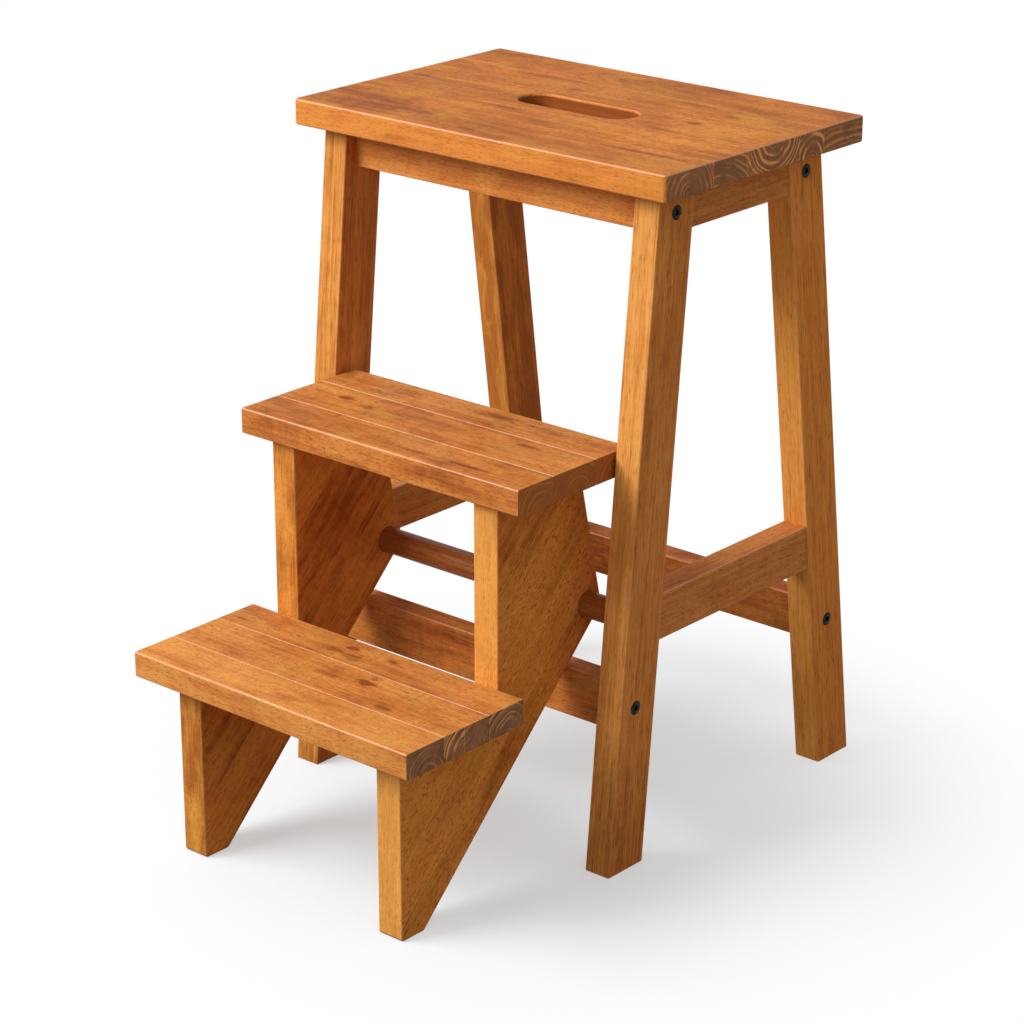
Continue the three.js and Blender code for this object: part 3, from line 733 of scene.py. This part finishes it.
def cross_piece(name, nuts_from):
    """A piece across a pair of legs, with the bores for its nuts and for the seat's screws."""
    low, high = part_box(name)
    piece = block(name + "_wood", low, high)
    edit(piece)
    pick(piece, "EDGE", lambda e: runs_along(e, X))
    ease(RAIL_EASE)
    done()
    end, kind = name.split("_")
    for hand in ("left", "right"):
        nut_low, nut_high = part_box(f"{end}_{hand}_{kind}_nut")
        nut = (nut_low + nut_high) / 2
        outside = (high.y if nuts_from > 0 else low.y) + nuts_from * HARDWARE_DRILL_START
        bottom = nut.y - nuts_from * ((nut_high.y - nut_low.y) / 2 + JOINT_GAP)
        drill(piece, NUT_BORE / 2, (nut.x, bottom, nut.z), (nut.x, outside, nut.z))
        if kind == "apron":
            screw_low, screw_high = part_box(f"{end}_{hand}_seat_screw")
            screw = (screw_low + screw_high) / 2
            drill(piece, SCREW_RECESS / 2, (screw.x, screw.y, low.z - HARDWARE_DRILL_START),
                  (screw.x, screw.y, screw_low.z + SCREW_HEAD))
    return piece, (low + high) / 2


for seed, (name, (nuts_from, tone)) in enumerate(CROSS_PIECES.items(), 31):
    piece, middle = cross_piece(name, nuts_from)
    fit(piece, "frame", name, wood(
        name + "_wood", RAIL_STAIN, X, Z, middle, seed, hearts=((12, -28),), tones=(tone,),
        figure=0.8, gold=0.4, stripes=0.6, broad=1.3))


# Aprons and rails at the sides
def leg_face(name, z):
    """The front face of a leg at a height."""
    low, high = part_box(name)
    if name.startswith("front"):
        return low.y + (high.y - LEG_DEPTH - low.y) * z / high.z
    return high.y - LEG_DEPTH + (low.y - high.y + LEG_DEPTH) * z / high.z


def side_piece(name):
    """A piece from a front leg to a rear leg, its ends cut to the lean of the legs."""
    hand = name.split("_")[0]
    low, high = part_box(name)
    (front, front_top), (rear, rear_top) = (
        [leg_face(f"{end}_{hand}_leg", z) + gap for z in (low.z, high.z)]
        for end, gap in (("front", LEG_DEPTH + JOINT_GAP), ("rear", -JOINT_GAP)))
    piece = block(name + "_wood", (low.x, front, low.z), (high.x, rear, high.z))
    edit(piece)
    for end, top in ((front, front_top), (rear, rear_top)):
        pick(piece, "VERT", lambda v: abs(v.co.y - end) < TINY and v.co.z > high.z - TINY)
        bpy.ops.transform.translate(value=(0, top - end, 0))
    pick(piece, "EDGE", lambda e: runs_along(e, Y))
    ease(RAIL_EASE)
    done()
    return piece, (low + high) / 2


for seed, name in enumerate(("left_apron", "right_apron", "left_rail", "right_rail"), 41):
    piece, middle = side_piece(name)
    fit(piece, "frame", name, wood(
        name + "_wood", RAIL_STAIN, Y, Z, middle, seed, hearts=((-14, 26),), tones=(0.12,),
        figure=0.65, stripes=0.7))


# Pivot rod
def pivot_rod():
    piece = cylinder("rod_wood", rod_radius, (rod_low.x, rod_axis.y, rod_axis.z),
                     (rod_high.x, rod_axis.y, rod_axis.z), 64)
    edit(piece)
    pick(piece, "EDGE", lambda e: ends_at(e, 0, rod_low.x) or ends_at(e, 0, rod_high.x))
    ease(ROD_END_EASE, 2)
    done()
    return piece


fit(pivot_rod(), "frame", "pivot_rod", wood(
    "rod_wood", ROD_STAIN, X, Y, rod_axis, 51, hearts=((-20, 10),), figure=0.3, gloss=0.38))

# Step panels
low_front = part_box("low_step_front_slat")
low_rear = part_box("low_step_rear_slat")
upper_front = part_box("upper_step_front_slat")
upper_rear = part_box("upper_step_rear_slat")
boss_radius = rod_radius + PIVOT_WALL


def touch(y, z, side):
    """The direction from the rod's axis in which a line through a point just touches the wood round it."""
    angle = math.atan2(z, y) + side * math.acos(boss_radius / math.hypot(y, z))
    return Vector((0, math.cos(angle), math.sin(angle)))


def step_panel(hand):
    """A stepped side panel: a foot block, its rear part drawn up to the upper tread, both slanting
    edges sawn off, the corners rounded and the whole rim eased, and bored for the rod."""
    low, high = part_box(f"{hand}_step_panel")
    floor = low.z
    step = low_front[0].z - JOINT_GAP
    top = upper_front[0].z - JOINT_GAP
    upper_face = low_rear[1].y + JOINT_GAP
    foot_back = low.y + PANEL_FOOT_LENGTH
    top_back = upper_rear[1].y - PANEL_TOP_SETBACK
    under = touch(foot_back - rod_axis.y, floor - rod_axis.z, 1)
    behind = touch(top_back - rod_axis.y, top - rod_axis.z, -1)
    piece = block(f"{hand}_panel_wood", (low.x, low.y, floor), (high.x, rod_axis.y + 2 * boss_radius, step))
    edit(piece)
    pick_all()
    bpy.ops.mesh.bisect(plane_co=(0, upper_face, 0), plane_no=(0, 1, 0))
    pick(piece, "FACE", lambda f: f.normal.z > 0.9 and f.calc_center_median().y > upper_face)
    draw_out(z=top - step)
    for way in (under, behind):
        pick_all()
        bpy.ops.mesh.bisect(plane_co=rod_axis + way * boss_radius, plane_no=way, use_fill=True,
                            clear_outer=True)
    pick_all()
    bpy.ops.mesh.remove_doubles(threshold=TINY)
    bpy.ops.mesh.dissolve_limited(angle_limit=math.radians(0.5))
    half_turn = under.angle(behind) / 2
    corner = rod_axis + (under + behind).normalized() * (boss_radius / math.cos(half_turn))
    rounds = [(corner.y, corner.z, boss_radius * math.tan(half_turn), 16),
              (low.y, floor, PANEL_FOOT_RADIUS, 5)]
    for y, z in ((foot_back, floor), (top_back, top), (upper_face, top), (upper_face, step), (low.y, step)):
        rounds.append((y, z, PANEL_CORNER, 3))
    for y, z, offset, segments in rounds:
        pick(piece, "EDGE", lambda e: runs_along(e, X) and all(
            math.hypot(v.co.y - y, v.co.z - z) < NEAR for v in e.verts))
        ease(offset, segments)
    for x in (low.x, high.x):
        pick(piece, "EDGE", lambda e: ends_at(e, 0, x))
        ease(PANEL_EASE)
    done()
    drill(piece, rod_radius + RUNNING_GAP, (low.x - ROD_DRILL_START, rod_axis.y, rod_axis.z),
          (high.x + ROD_DRILL_START, rod_axis.y, rod_axis.z), 64)
    slope = Vector((0, -under.z, under.y))
    return piece, slope, (low + high) / 2


# Each panel's seed, board joints and tones, how strong its pores are, and how light its lipping is
PANELS = {
    "left": (61, (-50, -5, 72), (-0.14, -0.02, -0.23, 0.0), 1.0, 0.05),
    "right": (62, (-29, 10, 70), (-0.08, 0.10, 0.03, 0.0), 1.5, 0.4)}
for hand, (seed, boards, tones, pores, lipping) in PANELS.items():
    piece, slope, middle = step_panel(hand)
    fit(piece, "step_unit", f"{hand}_step_panel", wood(
        f"{hand}_panel_wood", PANEL_STAIN, slope, X.cross(slope), middle, seed, boards=boards,
        hearts=((-70, -25), (-10, 30), (40, -30), (90, 25)), tones=tones, figure=0.85, gold=0.6,
        stripes=0.3, broad=1.5, pores=pores, redder_side_shade=0.7, lipping=lipping))


# Treads
def slat(name, front_ease, rear_ease):
    low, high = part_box(name)
    piece = block(name + "_wood", low, high)
    edit(piece)
    for y, offset in ((low.y, front_ease), (high.y, rear_ease)):
        pick(piece, "EDGE", lambda e: runs_along(e, X) and ends_at(e, 1, y))
        ease(offset, 4)
    for x in (low.x, high.x):
        pick(piece, "EDGE", lambda e: ends_at(e, 0, x))
        ease(SLAT_END_EASE, 2)
    done()
    return piece, (low + high) / 2


# How far each row's front and rear edges are eased
SLAT_ROWS = {"front": (TREAD_EASE, GROOVE_EASE), "middle": (GROOVE_EASE, GROOVE_EASE),
             "rear": (GROOVE_EASE, TREAD_EASE)}
# Each slat's board joints, tone, arcs and knots
SLATS = {
    "low_step_front_slat": ((), 0.28, (0.4,), [(10.3, -6.1, 16, 5, 0.4)]),
    "low_step_middle_slat": ((-2.5,), 0.08, (1.3, 0.3), [
        (37.7, 10.6, 9, 5, 1.0), (39.7, 21.3, 6, 4, 0.8), (83.6, -19.3, 9, 4, 0.6)]),
    "low_step_rear_slat": ((), 0.08, (0.7,), [
        (-8.3, -9.5, 9, 5, 1.0), (-31.2, -6.7, 8, 4, 0.7), (-22.2, 6.6, 7, 4, 0.7),
        (25.2, 6.5, 7, 4, 0.6)]),
    "upper_step_front_slat": ((), -0.05, (0.7,), [(96, -6, 16, 3, 0.6), (40, -8, 20, 2.5, 0.4)]),
    "upper_step_middle_slat": ((), 0.09, (0.6,), [
        (-110, 8, 9, 5, 0.7), (-78, 0, 8, 4, 0.8), (-64, -12, 12, 4, 0.7), (100, 14, 16, 2.5, 0.5)]),
    "upper_step_rear_slat": ((), 0.09, (0.5,), [
        (-92, -12, 18, 5, 0.6), (30, 4, 24, 6, 0.4), (90, 6, 26, 6, 0.4)])}
for tread, first, stain in (("low", 71, TOP_STAIN), ("upper", 81, UPPER_TREAD_STAIN)):
    for seed, (row, eases) in enumerate(SLAT_ROWS.items(), first):
        name = f"{tread}_step_{row}_slat"
        boards, tone, arcs, knots = SLATS[name]
        piece, middle = slat(name, *eases)
        fit(piece, "step_unit", name, wood(
            name + "_wood", stain, X, Y, middle, seed, boards=boards, hearts=((4, -15), (-8, 26)),
            tones=(tone, tone + 0.03), arcs=arcs, knots=knots, stripes=0.5, broad=1.5, pores=1.1))


# Bolts
# How far in and how far up each next ring of the head's crown lies, in millimetres
CROWN = ((0.4, 0.28), (1.6, 0.30), (1.6, 0.16), (0.9, 0.06))


def bolt():
    """One bolt, its head's underside at the origin and its head towards +X: a crowned head with a
    hexagon socket, and a plain shank."""
    low, high = bolt_box("front_right_leg", "rail")
    shank_length = high.x - low.x - BOLT_HEAD_HEIGHT
    piece = cylinder("bolt_steel", BOLT_HEAD / 2, (0, 0, 0), (BOLT_HEAD_HEIGHT - BOLT_CROWN, 0, 0), 48)
    edit(piece)
    pick(piece, "FACE", lambda f: f.normal.x > 0.9)
    for inset, rise in CROWN:
        bpy.ops.mesh.inset(thickness=inset * MM)
        bpy.ops.transform.translate(value=(rise * MM, 0, 0))
    pick(piece, "FACE", lambda f: f.normal.x < -0.9)
    bpy.ops.mesh.inset(thickness=(BOLT_HEAD - BOLT_SHANK) / 2)
    draw_out(x=-shank_length)
    pick(piece, "EDGE", lambda e: ends_at(e, 0, -shank_length))
    ease(BOLT_TIP_EASE, 2)
    done()
    cut(piece, cylinder("hexagon", BOLT_SOCKET / math.sqrt(3), (BOLT_HEAD_HEIGHT - BOLT_SOCKET_DEPTH, 0, 0),
                        (2 * BOLT_HEAD_HEIGHT, 0, 0), 6))
    return piece


bolt_steel = black_oxide()
first_bolt = bolt()
for name in sorted(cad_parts):
    if name.endswith("_bolt"):
        low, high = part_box(name)
        middle = (low + high) / 2
        right = middle.x > 0
        only(first_bolt)
        bpy.ops.object.duplicate(linked=False)
        piece = bpy.context.object
        piece.name = name + "_steel"
        piece.rotation_euler = (0, 0, 0 if right else math.pi)
        under_head = high.x - BOLT_HEAD_HEIGHT if right else low.x + BOLT_HEAD_HEIGHT
        piece.location = (under_head, middle.y, middle.z)
        settle(piece)
        fit(piece, "frame", name, bolt_steel)
bpy.data.objects.remove(first_bolt)

# CAD nodes that stay
plate = zinc_plate()
beech = dowel_wood()
for name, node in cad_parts.items():
    if name.endswith(("_nut", "_screw", "_dowel")):
        for slot in node.material_slots:
            slot.material = beech if name.endswith("_dowel") else plate

# Floor, light and camera
FLOOR_RADIUS = 9
FLOOR_SEEN = (0.855, 0.932, 0.960)    # the floor's colour as the camera sees it
FLOOR_BOUNCE = (0.28, 0.28, 0.28)     # and as it lights the stool
NEAR_GLOW = 0.43                      # how much of the floor under the stool is white by itself
PAPER_TO, WHITE_FROM = 0.20, 0.56     # how far out the floor starts to turn white, and is all white
AMBIENT = 0.50                        # how strongly the surroundings light the stool
LAMP_AIM = Vector((0, 0.02, 0.28))
LAMP_DISTANCE = 3.0
KEY_POWER, KEY_SIZE, KEY_WAY = 58, 1.2, Vector((-0.38, -0.70, 0.60))
SIDE_POWER, SIDE_SIZE, SIDE_WAY = 28, 0.8, Vector((-0.62, -0.46, 0.63))
CAMERA_PLACE = Vector((1.7117, -1.95685, 1.2647))
CAMERA_AIM = Vector((-0.08884, 0.12623, 0.22195))
LENS, FILM_WIDTH = 107.77, 36         # in millimetres
WHITE = (1, 1, 1)


def seen_ray(finish):
    """1 for the rays that show the background: straight, mirrored or passed on."""
    rays = [finish.node("LightPath", f"Is {kind} Ray") for kind in ("Camera", "Glossy", "Transmission")]
    return rays[0].math("MAXIMUM", rays[1]).math("MAXIMUM", rays[2])


def studio_floor():
    """Paper that takes the stool's shadow, and turns into the white background further out."""
    bpy.ops.mesh.primitive_circle_add(vertices=96, radius=FLOOR_RADIUS, fill_type="NGON",
                                      location=(0, 0, 0))
    floor = start("floor")
    finish = new_finish("floor_paper")
    seen = seen_ray(finish)
    place = finish.node("TexCoord", "Object")
    distance = finish.node("VectorMath", "Value", {"operation": "LENGTH"}, {0: place})
    far = distance.between(PAPER_TO, WHITE_FROM)
    fleck = finish.noise(place, (300, 300, 300), (0, 0, 0), 2)
    colour = finish.mix(FLOOR_BOUNCE, FLOOR_SEEN, seen * (0.98 + fleck * 0.02))
    paper = finish.node("BsdfDiffuse", "BSDF", {}, {"Color": colour})
    glow = finish.node("Emission", "Emission", {}, {"Color": WHITE, "Strength": 1.0})
    finish.end(finish.node("MixShader", "Shader", {}, {
        0: (far * (1 - NEAR_GLOW) + NEAR_GLOW) * seen, 1: paper, 2: glow}))
    floor.data.materials.clear()
    floor.data.materials.append(finish.owner)
    floor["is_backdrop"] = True


def surroundings():
    """White all round for the camera, and an even light for the stool."""
    world = bpy.data.worlds.new("studio")
    bpy.context.scene.world = world
    finish = Finish(world)
    finish.end(finish.node("Background", "Background", {}, {
        "Color": WHITE, "Strength": seen_ray(finish) * (1 - AMBIENT) + AMBIENT}), "OutputWorld")


def lamp(name, way, size, power):
    bpy.ops.object.light_add(type="AREA", location=LAMP_AIM + way.normalized() * LAMP_DISTANCE)
    made = bpy.context.object
    made.name = name
    made.rotation_euler = (-way).to_track_quat("-Z", "Y").to_euler()
    made.data.size = size
    made.data.energy = power


def camera():
    turn = (CAMERA_AIM - CAMERA_PLACE).to_track_quat("-Z", "Y").to_euler()
    bpy.ops.object.camera_add(location=CAMERA_PLACE, rotation=turn)
    made = bpy.context.object
    made.name = "camera"
    made.data.sensor_width = FILM_WIDTH
    made.data.lens = LENS
    made.data.clip_start = 0.05
    made.data.clip_end = 60
    bpy.context.scene.camera = made


studio_floor()
surroundings()
lamp("key_lamp", KEY_WAY, KEY_SIZE, KEY_POWER)
lamp("side_lamp", SIDE_WAY, SIDE_SIZE, SIDE_POWER)
camera()
bpy.context.scene.view_settings.view_transform = "Standard"

low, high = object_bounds()
